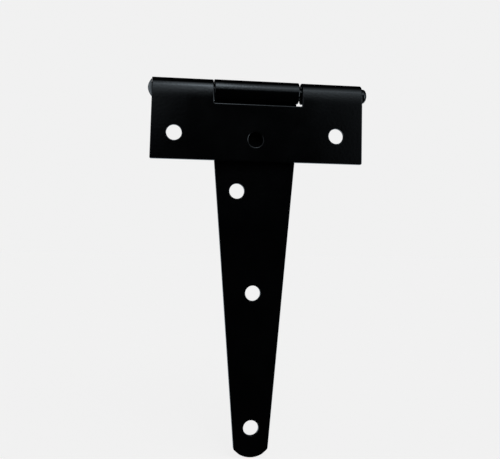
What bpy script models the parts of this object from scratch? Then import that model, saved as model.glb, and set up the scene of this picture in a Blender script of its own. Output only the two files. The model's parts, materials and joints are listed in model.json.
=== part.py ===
"""Light-duty tee hinge: a short jamb leaf and a long tapered strap leaf on one peened pin.

The hinge is folded shut. The pin runs along X, the jamb leaf's back face is the plane y = 0 and faces -Y,
and both leaves hang down, the strap leaf behind the jamb leaf. The origin is on the jamb leaf's back face,
on its centre line, between the notch and the middle screw hole. The strap leaf swings about the pin's axis.
"""

import math

import bmesh
import bpy
from mathutils import Matrix, Vector

MM = 0.001

# Sheet, knuckles and pin
SHEET = 1.5 * MM
KNUCKLE_RADIUS = 3.65 * MM
CURL_WRAP = math.radians(300)
RUNNING_GAP = 0.3 * MM
PIN_RADIUS = KNUCKLE_RADIUS - SHEET - RUNNING_GAP
LEFT_HEAD = {"radius": 3.0 * MM, "rim": 0.1 * MM, "stands_out": 1.4 * MM, "dome_power": 2}
RIGHT_HEAD = {"radius": 2.5 * MM, "rim": 0.9 * MM, "stands_out": 2.35 * MM, "dome_power": 1}
AXIS_ABOVE_ORIGIN = 8.85 * MM

# Jamb leaf, measured down from the pin's axis. Its left end is sheared a little out of square.
JAMB_RIGHT = 36.75 * MM
JAMB_KNUCKLE_LEFT = -36.5 * MM
JAMB_FOOT_LEFT = -36.95 * MM
JAMB_DROP = 24.75 * MM
JAMB_CORNER = 0.5 * MM
NOTCH_LEFT = -15.5 * MM
NOTCH_RIGHT = 15.45 * MM
NOTCH_DROP = 5.15 * MM
NOTCH_CORNER = 0.6 * MM

# Strap leaf, measured down from the pin's axis. Its knuckle is a little wider on the left.
STRAP_WIDTH = 29.3 * MM
STRAP_SHIFT = -0.3 * MM
KNUCKLE_FLARE = 0.2 * MM
TAPER_START = 18.85 * MM
TIP_WIDTH = 12.0 * MM
TIP_SAGITTA = 2.8 * MM
STRAP_DROP = 127.0 * MM

# Screw holes: x, then down from the pin's axis
HOLE_RADIUS = 2.65 * MM
JAMB_HOLES = [(x * MM, down * MM) for x, down in ((-28.85, 15.7), (-0.85, 17.25), (27.45, 15.1))]
STRAP_HOLES = [(STRAP_SHIFT + x * MM, down * MM) for x, down in ((-6.1, 34.65), (0.0, 70.25), (0.0, 116.9))]

ARC_STEP = math.radians(7.5)
BLANK_MARGIN = 5 * MM
CUT_REACH = 20 * MM

PIN_AXIS = Vector((0.0, KNUCKLE_RADIUS, AXIS_ABOVE_ORIGIN))


def clear_scene():
    for obj in list(bpy.data.objects):
        bpy.data.objects.remove(obj, do_unlink=True)


def new_collection(name):
    collection = bpy.data.collections.new(name)
    bpy.context.scene.collection.children.link(collection)
    return collection


def powder_coat(name, base_colour, roughness):
    material = bpy.data.materials.new(name)
    material.use_nodes = True
    shader = material.node_tree.nodes["Principled BSDF"]
    shader.inputs["Base Color"].default_value = (*base_colour, 1.0)
    shader.inputs["Roughness"].default_value = roughness
    shader.inputs["Metallic"].default_value = 0.0
    return material


def arc(centre, radius, start, end):
    """Points along an arc in a plane, both ends included."""
    steps = max(2, math.ceil(abs(end - start) / ARC_STEP - 1e-6))
    angles = [start + (end - start) * i / steps for i in range(steps + 1)]
    return [(centre[0] + radius * math.cos(a), centre[1] + radius * math.sin(a)) for a in angles]


def extruded_outline(name, loops, depth, collection):
    """A flat outline, its first loop outside and any others holes, extruded by depth as a welded mesh."""
    curve = bpy.data.curves.new(name, "CURVE")
    curve.dimensions = "2D"
    curve.fill_mode = "BOTH"
    curve.extrude = depth / 2
    for loop in loops:
        spline = curve.splines.new("POLY")
        spline.points.add(len(loop) - 1)
        for point, (u, v) in zip(spline.points, loop):
            point.co = (u, v, 0.0, 1.0)
        spline.use_cyclic_u = True
    drawn = bpy.data.objects.new(name + "_outline", curve)
    collection.objects.link(drawn)
    graph = bpy.context.evaluated_depsgraph_get()
    mesh = bpy.data.meshes.new_from_object(drawn.evaluated_get(graph))
    bpy.data.objects.remove(drawn, do_unlink=True)
    weld(mesh)
    solid = bpy.data.objects.new(name, mesh)
    collection.objects.link(solid)
    return solid


def weld(mesh):
    shape = bmesh.new()
    shape.from_mesh(mesh)
    bmesh.ops.remove_doubles(shape, verts=shape.verts, dist=1e-6)
    bmesh.ops.recalc_face_normals(shape, faces=shape.faces)
    shape.to_mesh(mesh)
    shape.free()


def curled_profile(drop):
    """Side view of a curled sheet, as (towards the back face, up) about the pin's axis.

    The flat hangs down at the back-face side, meets the knuckle on its tangent and wraps over the top.
    """
    bore = KNUCKLE_RADIUS - SHEET
    outer = arc((0.0, 0.0), KNUCKLE_RADIUS, 0.0, CURL_WRAP)
    inner = arc((0.0, 0.0), bore, CURL_WRAP, 0.0)
    return [(KNUCKLE_RADIUS, -drop)] + outer + inner + [(bore, -drop)]


def curled_blank(name, drop, width, back_faces_front, collection):
    """One leaf as a bent blank, a little oversize, before its outline and its holes are cut."""
    profile = curled_profile(drop + BLANK_MARGIN)
    sheet = extruded_outline(name, [profile], width + 2 * BLANK_MARGIN, collection)
    # The profile's plane becomes YZ and its depth becomes X.
    turn = Matrix(((0, 0, 1), (1, 0, 0), (0, 1, 0))).to_4x4()
    if back_faces_front:
        turn = Matrix.Rotation(math.pi, 4, "Z") @ turn
    sheet.data.transform(turn)
    sheet.location = PIN_AXIS
    return sheet


def jamb_outline():
    """Front view of the jamb leaf as (x, up) about the pin's axis, with the notch for the strap's knuckle."""
    top = 2 * KNUCKLE_RADIUS
    r = JAMB_CORNER
    n = NOTCH_CORNER
    quarter = math.pi / 2
    return (
        [(JAMB_RIGHT, top), (NOTCH_RIGHT, top)]
        + arc((NOTCH_RIGHT - n, n - NOTCH_DROP), n, 0.0, -quarter)
        + arc((NOTCH_LEFT + n, n - NOTCH_DROP), n, -quarter, -2 * quarter)
        + [(NOTCH_LEFT, top), (JAMB_KNUCKLE_LEFT, top), (JAMB_KNUCKLE_LEFT, 0.0)]
        + arc((JAMB_FOOT_LEFT + r, r - JAMB_DROP), r, 2 * quarter, 3 * quarter)
        + arc((JAMB_RIGHT - r, r - JAMB_DROP), r, 3 * quarter, 4 * quarter)
    )


def strap_outline():
    """Front view of the strap leaf as (x, up) about the pin's axis: parallel, then tapered to a round tip."""
    half = STRAP_WIDTH / 2
    top = 2 * KNUCKLE_RADIUS
    chord = TIP_WIDTH / 2
    radius = (chord**2 + TIP_SAGITTA**2) / (2 * TIP_SAGITTA)
    half_angle = math.asin(chord / radius)
    tip = arc((0.0, radius - STRAP_DROP), radius, -math.pi / 2 - half_angle, -math.pi / 2 + half_angle)
    outline = [(half, top), (-half - KNUCKLE_FLARE, top), (-half - KNUCKLE_FLARE, 0.0), (-half, -TAPER_START)]
    outline += tip + [(half, -TAPER_START)]
    return [(x + STRAP_SHIFT, z) for x, z in outline]


def screw_hole(x, drop):
    """One screw hole's edge in the front view."""
    return arc((x, -drop), HOLE_RADIUS, 0.0, 2 * math.pi)[:-1]


def outline_cutter(name, outline, holes, collection):
    """The leaf's front view, holes included, as a block that the bent blank is trimmed to."""
    loops = [outline] + [screw_hole(x, drop) for x, drop in holes]
    cutter = extruded_outline(name, loops, 2 * CUT_REACH, collection)
    # The outline's up axis becomes Z and its depth becomes Y.
    cutter.data.transform(Matrix.Rotation(math.pi / 2, 4, "X"))
    cutter.location = PIN_AXIS
    cutter.hide_render = True
    cutter.display_type = "WIRE"
    return cutter


def trim(leaf, cutter):
    modifier = leaf.modifiers.new("trim", "BOOLEAN")
    modifier.operation = "INTERSECT"
    modifier.solver = "EXACT"
    modifier.object = cutter


def shade(obj, material):
    obj.data.materials.append(material)
    obj.data.shade_smooth()
    obj.data.set_sharp_from_angle(angle=math.radians(30))


def make_jamb_leaf(parts, cutters, material):
    leaf = curled_blank("jamb_leaf", JAMB_DROP, JAMB_RIGHT - JAMB_FOOT_LEFT, True, parts)
    shade(leaf, material)
    trim(leaf, outline_cutter("jamb_outline", jamb_outline(), JAMB_HOLES, cutters))
    return leaf


def make_strap_leaf(parts, cutters, material):
    leaf = curled_blank("strap_leaf", STRAP_DROP, STRAP_WIDTH, False, parts)
    shade(leaf, material)
    trim(leaf, outline_cutter("strap_outline", strap_outline(), STRAP_HOLES, cutters))
    return leaf


def pin_half_profile(knuckle_end, head):
    """Radius and distance along the axis for one end of the pin, from the dome's crown to the shaft.

    A dome power of 1 makes the dome an ellipse. At 2 it is a lower, more pointed parabola.
    """
    underside = knuckle_end + RUNNING_GAP
    shoulder = underside + head["rim"]
    dome_height = head["stands_out"] - RUNNING_GAP - head["rim"]
    dome = [
        (head["radius"] * math.sin(a), shoulder + dome_height * math.cos(a) ** head["dome_power"])
        for a in (math.pi / 2 * i / 8 for i in range(9))
    ]
    return dome + [(head["radius"], underside), (PIN_RADIUS, underside)]


def make_hinge_pin(parts, material):
    right = pin_half_profile(JAMB_RIGHT, RIGHT_HEAD)
    left = pin_half_profile(-JAMB_KNUCKLE_LEFT, LEFT_HEAD)
    profile = right + [(r, -z) for r, z in reversed(left)]
    mesh = bpy.data.meshes.new("hinge_pin")
    edges = [(i, i + 1) for i in range(len(profile) - 1)]
    mesh.from_pydata([(r, 0.0, z) for r, z in profile], edges, [])
    pin = bpy.data.objects.new("hinge_pin", mesh)
    parts.objects.link(pin)
    pin.location = PIN_AXIS
    pin.rotation_euler = (0.0, math.pi / 2, 0.0)
    screw = pin.modifiers.new("turn", "SCREW")
    screw.axis = "Z"
    screw.steps = round(2 * math.pi / ARC_STEP)
    screw.render_steps = screw.steps
    screw.use_merge_vertices = True
    screw.merge_threshold = 1e-6
    screw.use_smooth_shade = True
    mesh.materials.append(material)
    return pin


def main():
    clear_scene()
    parts = new_collection("tee_hinge")
    cutters = new_collection("cutters")
    make_jamb_leaf(parts, cutters, powder_coat("jamb_black", (0.012, 0.012, 0.013), 0.38))
    make_strap_leaf(parts, cutters, powder_coat("strap_black", (0.010, 0.010, 0.011), 0.42))
    make_hinge_pin(parts, powder_coat("pin_black", (0.014, 0.014, 0.015), 0.35))


main()
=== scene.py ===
import json
import math

import bmesh
import bpy
import mathutils
from mathutils import Matrix, Vector


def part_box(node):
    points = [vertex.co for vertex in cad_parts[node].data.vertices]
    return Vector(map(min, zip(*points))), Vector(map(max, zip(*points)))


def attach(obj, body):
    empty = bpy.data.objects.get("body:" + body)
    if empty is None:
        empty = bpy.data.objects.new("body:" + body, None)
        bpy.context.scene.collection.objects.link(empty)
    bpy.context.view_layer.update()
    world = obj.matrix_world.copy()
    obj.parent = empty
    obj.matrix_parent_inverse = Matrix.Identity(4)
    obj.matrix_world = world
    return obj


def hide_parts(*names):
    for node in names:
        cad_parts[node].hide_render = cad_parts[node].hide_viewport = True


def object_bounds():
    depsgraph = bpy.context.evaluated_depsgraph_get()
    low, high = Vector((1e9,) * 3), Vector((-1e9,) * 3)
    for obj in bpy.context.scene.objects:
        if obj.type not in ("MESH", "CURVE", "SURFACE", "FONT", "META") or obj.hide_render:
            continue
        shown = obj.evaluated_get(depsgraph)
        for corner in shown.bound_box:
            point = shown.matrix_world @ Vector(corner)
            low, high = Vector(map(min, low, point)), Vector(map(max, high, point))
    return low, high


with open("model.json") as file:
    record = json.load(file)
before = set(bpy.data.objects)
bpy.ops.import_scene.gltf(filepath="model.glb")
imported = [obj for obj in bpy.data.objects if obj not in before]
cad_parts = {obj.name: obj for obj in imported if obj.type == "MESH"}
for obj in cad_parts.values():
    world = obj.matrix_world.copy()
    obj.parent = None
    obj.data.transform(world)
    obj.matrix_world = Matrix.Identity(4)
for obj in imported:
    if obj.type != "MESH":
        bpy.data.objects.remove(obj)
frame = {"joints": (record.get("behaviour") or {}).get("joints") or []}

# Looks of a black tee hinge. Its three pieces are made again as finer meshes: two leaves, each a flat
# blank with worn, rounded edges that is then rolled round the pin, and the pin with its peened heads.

CAD_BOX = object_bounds()

MM = 0.001

# The frame's own places
JAMB_LOW, JAMB_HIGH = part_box("jamb_leaf")
STRAP_LOW, STRAP_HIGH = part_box("strap_leaf")
PIN_LOW, PIN_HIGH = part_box("hinge_pin")
AXIS = Vector(frame["joints"][0]["pos_m"])

# Sheet and its rolled knuckles
SHEET = 1.5 * MM
EASE_RADIUS = 40 * MM
EASE_ANGLE = math.radians(6)
KNUCKLE_SLACK = 0.02 * MM
CURL_END = math.radians(300)
TIGHT_FROM = math.radians(120)
TIGHT_RADIUS = 3.0 * MM
FLAT_FROM = math.radians(173)
FLAT_TO = math.radians(177.5)
FLAT_RADIUS = 15 * MM
END_RADIUS = 3.35 * MM
ROLL_STEP = math.radians(4)
FEWEST_STEPS = 6

# Edges of the sheet
ROLLOVER_WIDTH = 0.31 * MM
ROLLOVER_DEPTH = 0.14 * MM
INNER_ROUND = 0.16 * MM
EDGE_RING = 0.10 * MM
ROUND_STEPS = 6
ARC_STEP = math.radians(6)
SHARP_ANGLE = math.radians(50)
FLAT_FACE_WEIGHT = 80

# Triangles over the leaves' faces, and how near two places count as one
CAP_GRID = 3.2 * MM
CAP_CLEARANCE = 0.35 * CAP_GRID
MERGE_WITHIN = 1e-9
CUT_WITHIN = 1e-8
LEVEL_WITHIN = 1e-7

# Jamb leaf
JAMB_KNUCKLE_LEFT = -36.5 * MM
NOTCH_LEFT = -15.5 * MM
NOTCH_RIGHT = 15.45 * MM
NOTCH_FLOOR = AXIS.z - 5.15 * MM
JAMB_CORNER = 0.5 * MM
NOTCH_CORNER = 0.6 * MM
TONGUE_CORNER = 0.5 * MM
SLIGHT_BEND = 3 * MM

# Strap leaf
KNUCKLE_FLARE = 0.2 * MM
TAPER_START = AXIS.z - 18.85 * MM
TIP_HALF = 6 * MM
TIP_SAGITTA = 2.8 * MM
TIP_CORNER = 1.2 * MM
TIP_TRIM = 3

# Screw holes, x and z
HOLE_RADIUS = 2.65 * MM
JAMB_HOLES = [(x * MM, AXIS.z - down * MM) for x, down in ((-28.85, 15.7), (-0.85, 17.25), (27.45, 15.1))]
STRAP_MIDDLE = (STRAP_LOW.x + KNUCKLE_FLARE + STRAP_HIGH.x) / 2
STRAP_HOLES = [
    (STRAP_MIDDLE + x * MM, AXIS.z - down * MM) for x, down in ((-6.1, 34.65), (0.0, 70.25), (0.0, 116.9))
]

# Pin
SHAFT_RADIUS = 1.85 * MM
HEADS = (
    # side, knuckle's end, crown, radius, rim, power of the dome's profile
    (1, JAMB_HIGH.x, PIN_HIGH.x, 2.5 * MM, 0.75 * MM, 1),
    (-1, JAMB_KNUCKLE_LEFT, PIN_LOW.x, (PIN_HIGH.z - PIN_LOW.z) / 2, 0.05 * MM, 2),
)
HEAD_LIFT = 0.04 * MM
RIM_ROUND = 0.22 * MM
RIM_STEPS = 4
DOME_STEPS = 16
PIN_STEPS = 72

# The hammering of its heads
PEENING_STARTS = 0.3 * MM
PEENING_GROWS_OVER = 0.9 * MM
PEEN_DEPTH = 0.045 * MM
PEEN_SIDEWAYS = 0.8
FACET_SIZE = 0.36 * MM


# ---------------------------------------------------------------- flat outlines


def arc(centre, radius, start, end):
    """Points along an arc, both ends included."""
    steps = max(2, math.ceil(abs(end - start) / ARC_STEP))
    angles = [start + (end - start) * i / steps for i in range(steps + 1)]
    return [centre + radius * Vector((math.cos(a), math.sin(a))) for a in angles]


def rounded_loop(corners):
    """A closed outline from (x, y, radius) corners. A corner with no radius stays a point."""
    loop = []
    for i, (x, y, radius) in enumerate(corners):
        here = Vector((x, y))
        if not radius:
            loop.append(here)
            continue
        back = (Vector(corners[i - 1][:2]) - here).normalized()
        ahead = (Vector(corners[(i + 1) % len(corners)][:2]) - here).normalized()
        half = math.acos(max(-1.0, min(1.0, back.dot(ahead)))) / 2
        centre = here + (back + ahead).normalized() * radius / math.sin(half)
        first = here + back * radius / math.tan(half) - centre
        last = here + ahead * radius / math.tan(half) - centre
        start = math.atan2(first.y, first.x)
        turn = math.remainder(math.atan2(last.y, last.x) - start, 2 * math.pi)
        loop += arc(centre, radius, start, start + turn)
    return loop


def screw_hole(x, y):
    """A hole's edge, run clockwise so that the metal is on its left."""
    return arc(Vector((x, y)), HOLE_RADIUS, 2 * math.pi, 0.0)[:-1]


class Roll:
    """The rolled end of a leaf: a slight easing out of the flat, then a knuckle a little flat on its
    far side.

    Lengths run along the outer face from where the flat ends. The flat's outer face is the plane at
    distance 0, and the knuckle reaches back to the given depth and up to the given crown.
    """

    def __init__(self, depth, crown):
        bends = [
            [EASE_RADIUS, 0.0, EASE_ANGLE],
            [None, EASE_ANGLE, TIGHT_FROM],
            [TIGHT_RADIUS, TIGHT_FROM, FLAT_FROM],
            [FLAT_RADIUS, FLAT_FROM, FLAT_TO],
            [END_RADIUS, FLAT_TO, CURL_END],
        ]
        # The main bend's radius is what the others leave of the knuckle's depth.
        others = sum(r * (math.cos(a) - math.cos(min(b, math.pi))) for r, a, b in bends if r)
        bends[1][0] = (depth - others) / (math.cos(EASE_ANGLE) - math.cos(TIGHT_FROM))
        self.start = crown - bends[1][0] + (bends[1][0] - EASE_RADIUS) * math.sin(EASE_ANGLE)
        # Each arc: its place along the sheet, its length, its first and last angles, radius and centre.
        self.arcs = []
        behind, height, along = 0.0, self.start, 0.0
        for radius, start, end in bends:
            centre = (behind + radius * math.cos(start), height - radius * math.sin(start))
            length = radius * (end - start)
            self.arcs.append((along, length, start, end, radius, centre))
            behind, height = centre[0] - radius * math.cos(end), centre[1] + radius * math.sin(end)
            along += length
        self.length = along

    def stations(self):
        """Lengths at which the sheet bends."""
        lengths = []
        for first, length, start, end, _, _ in self.arcs:
            steps = max(FEWEST_STEPS, round((end - start) / ROLL_STEP))
            lengths += [first + length * i / steps for i in range(steps)]
        return lengths

    def bend(self, along, depth):
        """(distance behind the flat's outer face, height) of a point of the blank."""
        if along <= 0:
            return depth, self.start + along
        first, _, start, _, radius, centre = [piece for piece in self.arcs if piece[0] < along][-1]
        angle = start + (along - first) / radius
        reach = radius - depth
        return centre[0] - reach * math.cos(angle), centre[1] + reach * math.sin(angle)


ROLL = Roll(JAMB_HIGH.y - JAMB_LOW.y - KNUCKLE_SLACK, JAMB_HIGH.z - KNUCKLE_SLACK)


def jamb_loops():
    """Outline and holes of the jamb leaf's blank, as x and length up from the flat's end."""
    top = ROLL.length
    foot = JAMB_LOW.z - ROLL.start
    floor = NOTCH_FLOOR - ROLL.start
    corners = [
        (JAMB_LOW.x, foot, JAMB_CORNER),
        (JAMB_HIGH.x, foot, JAMB_CORNER),
        (JAMB_HIGH.x, top, TONGUE_CORNER),
        (NOTCH_RIGHT, top, TONGUE_CORNER),
        (NOTCH_RIGHT, floor, NOTCH_CORNER),
        (NOTCH_LEFT, floor, NOTCH_CORNER),
        (NOTCH_LEFT, top, TONGUE_CORNER),
        (JAMB_KNUCKLE_LEFT, top, TONGUE_CORNER),
        (JAMB_KNUCKLE_LEFT, AXIS.z - ROLL.start, SLIGHT_BEND),
    ]
    return [rounded_loop(corners)] + [screw_hole(x, z - ROLL.start) for x, z in JAMB_HOLES]


def strap_loops():
    """Outline and holes of the strap leaf's blank: parallel, then tapered to a round tip."""
    top = ROLL.length
    foot = STRAP_LOW.z - ROLL.start
    taper = TAPER_START - ROLL.start
    radius = (TIP_HALF**2 + TIP_SAGITTA**2) / (2 * TIP_SAGITTA)
    half_angle = math.asin(TIP_HALF / radius)
    centre = Vector((STRAP_MIDDLE, foot + radius))
    tip = arc(centre, radius, -math.pi / 2 - half_angle, -math.pi / 2 + half_angle)
    left, right = tip[0], tip[-1]
    corners = (
        [(left.x, left.y, TIP_CORNER)]
        + [(p.x, p.y, 0) for p in tip[TIP_TRIM:-TIP_TRIM]]
        + [(right.x, right.y, TIP_CORNER)]
        + [(STRAP_HIGH.x, taper, SLIGHT_BEND), (STRAP_HIGH.x, top, TONGUE_CORNER)]
        + [(STRAP_LOW.x, top, TONGUE_CORNER), (STRAP_LOW.x, AXIS.z - ROLL.start, SLIGHT_BEND)]
        + [(STRAP_LOW.x + KNUCKLE_FLARE, taper, SLIGHT_BEND)]
    )
    return [rounded_loop(corners)] + [screw_hole(x, z - ROLL.start) for x, z in STRAP_HOLES]


# ---------------------------------------------------------------- sheet pieces


def inward_mitres(loop):
    """For each point of a loop, the move into the metal that insets both its edges by one."""
    mitres = []
    for i, here in enumerate(loop):
        before = (here - loop[i - 1]).normalized()
        after = (loop[(i + 1) % len(loop)] - here).normalized()
        left_before = Vector((-before.y, before.x))
        left_after = Vector((-after.y, after.x))
        mitres.append((left_before + left_after) / (1 + left_before.dot(left_after)))
    return mitres


def edge_section():
    """(inset, depth, wear) down a sheared, coated edge: a wide, shallow rollover, a wall, a small round."""
    section = [(ROLLOVER_WIDTH + EDGE_RING, 0.0, 0.0)]
    quarters = [math.pi / 2 * i / ROUND_STEPS for i in range(ROUND_STEPS + 1)]
    for a in quarters:
        inset = ROLLOVER_WIDTH * (1 - math.sin(a))
        section.append((inset, ROLLOVER_DEPTH * (1 - math.cos(a)), math.sin(a) ** 4))
    for a in quarters:
        depth = SHEET - INNER_ROUND * (1 - math.sin(a))
        section.append((INNER_ROUND * (1 - math.cos(a)), depth, math.sin(2 * a)))
    section.append((INNER_ROUND + EDGE_RING, SHEET, 0.0))
    return section


def inside(point, loops):
    """True if the point is in the metal: inside an odd number of loops."""
    crossings = 0
    for loop in loops:
        for i, b in enumerate(loop):
            a = loop[i - 1]
            if (a.y > point.y) != (b.y > point.y):
                crossings += point.x < a.x + (point.y - a.y) / (b.y - a.y) * (b.x - a.x)
    return crossings % 2 == 1


def grid_inside(loops):
    """Evenly spaced points in the flat part of the blank, clear of its edges."""
    outer = loops[0]
    low_x, high_x = min(p.x for p in outer), max(p.x for p in outer)
    low_y = min(p.y for p in outer)
    points = []
    row, y = 0, low_y + CAP_GRID / 2
    while y < -CAP_GRID / 4:
        x = low_x + CAP_GRID * (0.5 if row % 2 else 1.0)
        while x < high_x:
            here = Vector((x, y))
            clear = min(distance_to_loop(here, loop) for loop in loops)
            if clear > CAP_CLEARANCE and inside(here, loops):
                points.append(here)
            x += CAP_GRID
        row += 1
        y += CAP_GRID * math.sqrt(3) / 2
    return points


def distance_to_loop(point, loop):
    """Distance from a point to the nearest edge of a loop."""
    return min(distance_to_edge(point, loop[i - 1], b) for i, b in enumerate(loop))


def distance_to_edge(point, a, b):
    """Distance from a point to the straight edge between a and b."""
    along = max(0.0, min(1.0, (point - a).dot(b - a) / (b - a).length_squared))
    return (point - a - (b - a) * along).length


def fill_face(shape, rims, depth, cap):
    """Triangles over one face of the blank, between the rims of its outline and its holes."""
    loops = [[v.co.to_2d() for v in rim] for rim in rims]
    corners = [v for rim in rims for v in rim]
    points = [v.co.to_2d() for v in corners]
    edges = []
    first = 0
    for rim in rims:
        edges += [(first + i, first + (i + 1) % len(rim)) for i in range(len(rim))]
        first += len(rim)
    extra = grid_inside(loops)
    made = mathutils.geometry.delaunay_2d_cdt(points + extra, edges, [], 1, MERGE_WITHIN)
    placed, triangles, origins = made[0], made[2], made[3]
    verts = [
        corners[origin[0]] if origin[0] < len(corners) else shape.verts.new((*where, depth))
        for where, origin in zip(placed, origins)
    ]
    for triangle in triangles:
        middle = sum((placed[i] for i in triangle), Vector((0, 0))) / 3
        if inside(middle, loops):
            face = shape.faces.new([verts[i] for i in triangle])
            face[cap] = 1


def flat_blank(loops):
    """The leaf before rolling: x and length in the plane, depth from the outer face as height."""
    shape = bmesh.new()
    cap = shape.faces.layers.int.new("cap")
    wear = shape.verts.layers.float.new("edge_wear")
    outer_rims, inner_rims = [], []
    for loop in loops:
        mitres = inward_mitres(loop)
        rings = []
        for inset, depth, worn in edge_section():
            ring = [shape.verts.new((*(p + m * inset), depth)) for p, m in zip(loop, mitres)]
            for vert in ring:
                vert[wear] = worn
            rings.append(ring)
        for upper, lower in zip(rings, rings[1:]):
            for i in range(len(loop)):
                j = (i + 1) % len(loop)
                shape.faces.new((upper[i], upper[j], lower[j], lower[i]))
        outer_rims.append(rings[0])
        inner_rims.append(rings[-1])
    fill_face(shape, outer_rims, 0.0, cap)
    fill_face(shape, inner_rims, SHEET, cap)
    return shape, cap


def cut_stations(shape, cap):
    """Lines across the blank wherever it will bend, with one clean strip of metal between each two."""
    for along in ROLL.stations():
        geometry = shape.verts[:] + shape.edges[:] + shape.faces[:]
        bmesh.ops.bisect_plane(
            shape, geom=geometry, dist=CUT_WITHIN, plane_co=(0, along, 0), plane_no=(0, 1, 0)
        )
    spare = [
        edge
        for edge in shape.edges
        if all(face[cap] for face in edge.link_faces)
        and all(vert.co.y > -LEVEL_WITHIN for face in edge.link_faces for vert in face.verts)
        and abs(edge.verts[0].co.y - edge.verts[1].co.y) > LEVEL_WITHIN
    ]
    bmesh.ops.dissolve_edges(shape, edges=spare, use_verts=True, use_face_split=False)


def rolled_leaf(name, loops, faces_front):
    """One leaf of the hinge, rolled. Its outer face looks along -Y if faces_front, or else along +Y."""
    shape, cap = flat_blank(loops)
    cut_stations(shape, cap)
    for vert in shape.verts:
        behind, height = ROLL.bend(vert.co.y, vert.co.z)
        y = JAMB_LOW.y + behind if faces_front else STRAP_HIGH.y - behind
        vert.co = (vert.co.x, y, height)
    return finished(name, shape)


def finished(name, shape):
    """A smooth-shaded object from a closed shape, its faces outwards, its flats with their own normals."""
    bmesh.ops.recalc_face_normals(shape, faces=shape.faces)
    if shape.calc_volume(signed=True) < 0:
        bmesh.ops.reverse_faces(shape, faces=shape.faces)
    mesh = bpy.data.meshes.new(name)
    shape.to_mesh(mesh)
    shape.free()
    mesh.shade_smooth()
    mesh.set_sharp_from_angle(angle=SHARP_ANGLE)
    piece = bpy.data.objects.new(name, mesh)
    bpy.context.scene.collection.objects.link(piece)
    weighted = piece.modifiers.new("flat_normals", "WEIGHTED_NORMAL")
    weighted.keep_sharp = True
    weighted.weight = FLAT_FACE_WEIGHT
    return piece


# ---------------------------------------------------------------- pin


def head_profile(head_radius, stands_out, rim, dome_power):
    """(radius, distance past the knuckle's end) over one peened head, from its crown to the shaft."""
    turn = min(rim, RIM_ROUND)
    shoulder = HEAD_LIFT + rim + turn
    dome_height = stands_out - shoulder
    crown = [
        (head_radius * math.sin(a), shoulder + dome_height * math.cos(a) ** dome_power)
        for a in (math.pi / 2 * i / DOME_STEPS for i in range(DOME_STEPS + 1))
    ]
    under = [
        (head_radius - turn * (1 - math.cos(a)), HEAD_LIFT + turn - turn * math.sin(a))
        for a in (math.pi / 2 * i / RIM_STEPS for i in range(RIM_STEPS + 1))
    ]
    return crown + under + [(SHAFT_RADIUS, HEAD_LIFT)]


def peening(radius, past_end, angle, side):
    """How far the hammering pushed a point of the head in: soft facets, none at the seat."""
    share = min(1.0, max(0.0, (past_end - PEENING_STARTS) / PEENING_GROWS_OVER))
    lobes = math.sin(3 * angle + side) + 0.6 * math.sin(5 * angle + 2.1 * side)
    facets = math.cos(7 * angle + 1.3 * side) * math.sin(radius / FACET_SIZE + side)
    return (0.5 + 0.22 * lobes + 0.28 * facets) * PEEN_DEPTH * share


def turned_pin(name):
    """The pin with both its heads, as rings of points from the right-hand crown to the left-hand one."""
    shape = bmesh.new()
    wear = shape.verts.layers.float.new("edge_wear")
    rings = []
    for side, knuckle_end, crown, head_radius, rim, dome_power in HEADS:
        stands_out = abs(crown - knuckle_end)
        half = []
        for radius, past_end in head_profile(head_radius, stands_out, rim, dome_power):
            if radius < MERGE_WITHIN:
                pole = shape.verts.new((crown, AXIS.y, AXIS.z))
                pole[wear] = 1.0
                half.append([pole])
                continue
            ring = []
            for i in range(PIN_STEPS):
                a = 2 * math.pi * i / PIN_STEPS
                push = peening(radius, past_end, a, side)
                r = radius - push * PEEN_SIDEWAYS
                x = knuckle_end + side * (past_end - push)
                vert = shape.verts.new((x, AXIS.y + r * math.cos(a), AXIS.z + r * math.sin(a)))
                vert[wear] = past_end / stands_out
                ring.append(vert)
            half.append(ring)
        rings += half if side > 0 else half[::-1]
    for a, b in zip(rings, rings[1:]):
        for i in range(PIN_STEPS):
            j = (i + 1) % PIN_STEPS
            corners = [a[i % len(a)], a[j % len(a)], b[j % len(b)], b[i % len(b)]]
            shape.faces.new(list(dict.fromkeys(corners)))
    return finished(name, shape)


# ---------------------------------------------------------------- materials

# Sizes of the coat's lumps and marks, and the heights of its relief
PATCH_SIZE = 14 * MM
PEEL_SIZE = 0.9 * MM
PEEL_HEIGHT = 0.014 * MM
GRAIN_SIZE = 0.16 * MM
GRAIN_HEIGHT = 0.0016 * MM
SPECK_SIZE = 0.35 * MM
CHIP_SIZE = 1.3 * MM
RUB_SIZE = 0.5 * MM
RUB_ZONE_SIZE = 9 * MM
RUB_TURN = (0.0, 0.35, 0.2)
RUB_STRETCH = (1.0, 1.0, 0.06)


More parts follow.
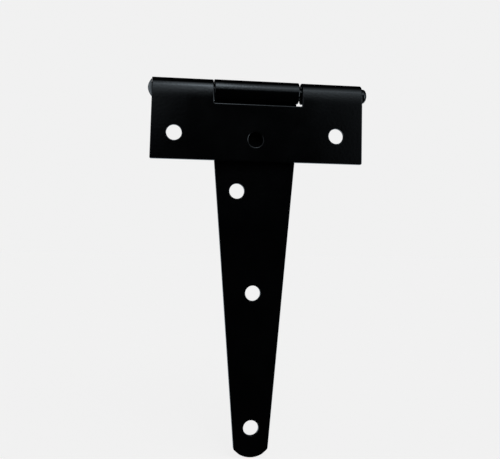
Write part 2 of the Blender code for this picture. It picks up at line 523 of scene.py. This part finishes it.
class Graph:
    """Short calls for building a node tree."""

    def __init__(self, tree):
        self.tree = tree

    def node(self, kind, inputs=None, **settings):
        node = self.tree.nodes.new(kind)
        for name, value in settings.items():
            setattr(node, name, value)
        for key, value in (inputs or {}).items():
            self.put(value, node.inputs[key])
        return node

    def put(self, value, socket):
        if isinstance(value, bpy.types.NodeSocket):
            self.tree.links.new(value, socket)
        else:
            socket.default_value = value

    def math(self, operation, *values, clamp=False):
        return self.node(
            "ShaderNodeMath", dict(enumerate(values)), operation=operation, use_clamp=clamp
        ).outputs[0]

    def remap(self, value, low, high, to_low=0.0, to_high=1.0, smooth=False):
        inputs = {"Value": value, "From Min": low, "From Max": high, "To Min": to_low, "To Max": to_high}
        kind = "SMOOTHSTEP" if smooth else "LINEAR"
        return self.node("ShaderNodeMapRange", inputs, interpolation_type=kind, clamp=True).outputs[0]

    def noise(self, where, size, detail=2.0, roughness=0.5):
        """Noise whose lumps are about this size, in metres."""
        inputs = {"Vector": where, "Scale": 1 / size, "Detail": detail, "Roughness": roughness}
        return self.node("ShaderNodeTexNoise", inputs).outputs["Fac"]

    def blend(self, factor, a, b):
        node = self.node("ShaderNodeMix", data_type="RGBA")
        for value, index in ((factor, 0), (a, 6), (b, 7)):
            self.put(value, node.inputs[index])
        return node.outputs[2]


def satin_black(name, base, worn, roughness, wear_amount):
    """Black powder coat over steel: orange peel, fine grain, uneven sheen, faint rubs and thin edges."""
    material = bpy.data.materials.new(name)
    material.use_nodes = True
    tree = material.node_tree
    graph = Graph(tree)
    shader = tree.nodes["Principled BSDF"]
    where = graph.node("ShaderNodeTexCoord").outputs["Object"]

    patches = graph.noise(where, PATCH_SIZE, 3.0)
    peel = graph.noise(where, PEEL_SIZE, 2.0, 0.45)
    grain = graph.noise(where, GRAIN_SIZE, 2.0, 0.6)
    specks = graph.remap(graph.noise(where, SPECK_SIZE, 1.0), 0.70, 0.78)

    # Long, thin rubs: noise stretched along the piece, cut to its highest crests.
    drawn = graph.node("ShaderNodeMapping", {"Vector": where, "Rotation": RUB_TURN, "Scale": RUB_STRETCH})
    rubs = graph.remap(graph.noise(drawn.outputs[0], RUB_SIZE, 3.0, 0.6), 0.64, 0.74)
    rub_zones = graph.remap(graph.noise(where, RUB_ZONE_SIZE, 1.0), 0.50, 0.66)
    rubs = graph.math("MULTIPLY", rubs, rub_zones)

    edge = graph.node("ShaderNodeAttribute", attribute_name="edge_wear").outputs["Fac"]
    chips = graph.remap(graph.noise(where, CHIP_SIZE, 4.0, 0.65), 0.46, 0.66)
    thin = graph.math("MULTIPLY", graph.math("MULTIPLY", edge, chips), wear_amount)

    deep, pale, speck = ((*(c * times for c in base), 1.0) for times in (0.7, 1.3, 2.5))
    colour = graph.blend(graph.remap(patches, 0.3, 0.7), deep, pale)
    colour = graph.blend(graph.math("MULTIPLY", specks, 0.5), colour, speck)
    colour = graph.blend(thin, colour, (*worn, 1.0))
    graph.put(colour, shader.inputs["Base Color"])

    matt = graph.remap(patches, 0.25, 0.75, roughness - 0.035, roughness + 0.035)
    matt = graph.math("ADD", matt, graph.remap(grain, 0.3, 0.7, -0.03, 0.03))
    matt = graph.math("SUBTRACT", matt, graph.math("MULTIPLY", rubs, 0.06))
    matt = graph.math("SUBTRACT", matt, graph.math("MULTIPLY", thin, 0.05))
    graph.put(matt, shader.inputs["Roughness"])

    fine = graph.node("ShaderNodeBump", {"Height": grain, "Strength": 1.0, "Distance": GRAIN_HEIGHT})
    skin = graph.node("ShaderNodeBump", {"Height": peel, "Strength": 1.0, "Distance": PEEL_HEIGHT})
    graph.put(fine.outputs[0], skin.inputs["Normal"])
    graph.put(skin.outputs[0], shader.inputs["Normal"])
    return material


# ---------------------------------------------------------------- studio

PALE = (0.879, 0.879, 0.879)
FLOOR_GAP = 0.5 * MM
FLOOR_SIZE = 60.0
FLOOR_ALBEDO = 0.30
FLOOR_GLOW = 0.819

CAMERA_TARGET = Vector((-1.92, 3.5, -39.22)) * MM
CAMERA_AZIMUTH = math.radians(-7.89)
CAMERA_ELEVATION = math.radians(-1.85)
CAMERA_ROLL = math.radians(0.85)
CAMERA_DISTANCE = 250.65 * MM
CAMERA_LENS = 52.09
CAMERA_NEAR = 0.01
CAMERA_FAR = 100.0


def towards(azimuth, elevation):
    """Unit vector to a place round the object. Azimuth 0 is in front, at -Y, and 90 is at +X."""
    flat = math.cos(elevation)
    return Vector((math.sin(azimuth) * flat, -math.cos(azimuth) * flat, math.sin(elevation)))


# Each panel: azimuth and half width in degrees, its soft edge as a share of that width, the heights in
# degrees (dark below, full from, full to, dark above), and its radiance.
SOFTBOXES = {
    "key": (11, 32, 0.75, (13.5, 26.3, 29, 77), 1.4),
    "core": (5.4, 2.8, 0.25, (18, 30, 31, 72), 3.1),
    "left_glow": (-16.2, 17.7, 0.08, (7, 12, 20, 30), 0.23),
    "right_glow": (31, 17.5, 0.2, (-20, 14, 16, 30), 0.15),
    "right_side": (60, 27, 0.5, (-34, -16, 10, 24), 2.8),
    "left_side": (-60, 28, 0.5, (-36, -18, 12, 40), 0.7),
    "back_right": (136, 28, 0.5, (-40, -24, -8, 0), 1.0),
    "back_left": (-118, 36, 0.4, (-40, -24, 20, 40), 0.95),
    "back": (180, 30, 0.5, (-40, -24, 0, 6), 0.6),
}
LOW_EDGE_POWER = 2.2
LIGHT_COLOUR = (0.84, 0.97, 1.07)
AMBIENT = 0.004


def softbox(graph, direction, azimuth, half_width, soft, heights, radiance):
    """Radiance of one upright panel of light with soft edges, as seen in a direction."""
    azimuth = math.radians(azimuth)
    ahead = Vector((math.sin(azimuth), -math.cos(azimuth), 0))
    across = Vector((math.cos(azimuth), math.sin(azimuth), 0))

    def along(axis):
        node = graph.node("ShaderNodeVectorMath", operation="DOT_PRODUCT")
        graph.put(direction, node.inputs[0])
        node.inputs[1].default_value = axis
        return node.outputs["Value"]

    reach = math.sin(math.radians(half_width))
    aside = graph.math("ABSOLUTE", along(across))
    up = along((0, 0, 1))
    dark_below, full_from, full_to, dark_above = (math.sin(math.radians(height)) for height in heights)
    lit = graph.math("GREATER_THAN", along(ahead), 0.0)
    for window in (
        graph.remap(aside, reach * (1 - soft), reach, 1.0, 0.0, smooth=True),
        graph.math("POWER", graph.remap(up, dark_below, full_from), LOW_EDGE_POWER),
        graph.remap(up, full_to, dark_above, 1.0, 0.0),
    ):
        lit = graph.math("MULTIPLY", lit, window)
    return graph.math("MULTIPLY", lit, radiance)


def build_world():
    """The panels of light, with a plain pale backdrop where the camera looks past the object."""
    world = bpy.data.worlds.new("studio")
    bpy.context.scene.world = world
    world.use_nodes = True
    tree = world.node_tree
    tree.nodes.clear()
    graph = Graph(tree)
    direction = graph.node("ShaderNodeTexCoord").outputs["Generated"]
    total = None
    for values in SOFTBOXES.values():
        panel = softbox(graph, direction, *values)
        total = panel if total is None else graph.math("ADD", total, panel)
    total = graph.math("ADD", total, AMBIENT)
    light = graph.node("ShaderNodeBackground", {"Color": (*LIGHT_COLOUR, 1.0), "Strength": total})
    backdrop = graph.node("ShaderNodeBackground", {"Color": (*PALE, 1.0), "Strength": 1.0})
    seen = graph.node("ShaderNodeLightPath").outputs["Is Camera Ray"]
    mix = graph.node("ShaderNodeMixShader", {0: seen, 1: light.outputs[0], 2: backdrop.outputs[0]})
    graph.node("ShaderNodeOutputWorld", {"Surface": mix.outputs[0]})


def build_floor():
    """A pale floor just under the strap's tip, which only the camera sees."""
    shape = bmesh.new()
    bmesh.ops.create_grid(shape, x_segments=1, y_segments=1, size=FLOOR_SIZE / 2)
    mesh = bpy.data.meshes.new("floor")
    shape.to_mesh(mesh)
    shape.free()
    floor = bpy.data.objects.new("floor", mesh)
    bpy.context.scene.collection.objects.link(floor)
    floor.location = (0, 0, CAD_BOX[0].z - FLOOR_GAP)
    floor.visible_diffuse = False
    floor.visible_glossy = False
    floor.visible_shadow = False
    material = bpy.data.materials.new("floor")
    material.use_nodes = True
    tree = material.node_tree
    tree.nodes.clear()
    graph = Graph(tree)
    # The light's tint is divided out again, so that the floor stays neutral.
    neutral = (*(FLOOR_ALBEDO / c for c in LIGHT_COLOUR), 1.0)
    glow = graph.node("ShaderNodeEmission", {"Color": (1.0, 1.0, 1.0, 1.0), "Strength": FLOOR_GLOW})
    matt = graph.node("ShaderNodeBsdfDiffuse", {"Color": neutral})
    both = graph.node("ShaderNodeAddShader", {0: glow.outputs[0], 1: matt.outputs[0]})
    graph.node("ShaderNodeOutputMaterial", {"Surface": both.outputs[0]})
    mesh.materials.append(material)


def build_camera():
    """A camera in front of the jamb leaf, a little to its left and a little below it."""
    data = bpy.data.cameras.new("camera")
    data.lens = CAMERA_LENS
    data.clip_start = CAMERA_NEAR
    data.clip_end = CAMERA_FAR
    camera = bpy.data.objects.new("camera", data)
    bpy.context.scene.collection.objects.link(camera)
    back = towards(CAMERA_AZIMUTH, CAMERA_ELEVATION)
    facing = back.to_track_quat("Z", "Y").to_matrix().to_4x4()
    roll = Matrix.Rotation(CAMERA_ROLL, 4, "Z")
    camera.matrix_world = Matrix.Translation(CAMERA_TARGET + back * CAMERA_DISTANCE) @ facing @ roll
    bpy.context.scene.camera = camera


# ---------------------------------------------------------------- assembly


def put(piece, material, body, node):
    """Dress a finer piece, and set it on its body in place of its node of the frame."""
    piece.data.materials.append(material)
    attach(piece, body)
    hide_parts(node)


build_camera()
build_world()
build_floor()
bpy.context.scene.view_settings.view_transform = "Standard"

jamb_coat = satin_black("jamb_coat", (0.0011, 0.0011, 0.0012), (0.030, 0.030, 0.032), 0.13, 0.5)
# Painted shade: the strap's coat is the jamb's black coat made a little darker, in both its base and its
# worn colour, to stand in for the strap lying darker in shade.
strap_coat = satin_black("strap_coat", (0.0010, 0.0010, 0.0011), (0.028, 0.028, 0.030), 0.13, 0.5)
pin_coat = satin_black("pin_coat", (0.0030, 0.0030, 0.0032), (0.045, 0.044, 0.042), 0.19, 0.8)

put(rolled_leaf("jamb_leaf_coated", jamb_loops(), True), jamb_coat, "jamb", "jamb_leaf")
put(rolled_leaf("strap_leaf_coated", strap_loops(), False), strap_coat, "strap", "strap_leaf")
put(turned_pin("hinge_pin_peened"), pin_coat, "jamb", "hinge_pin")
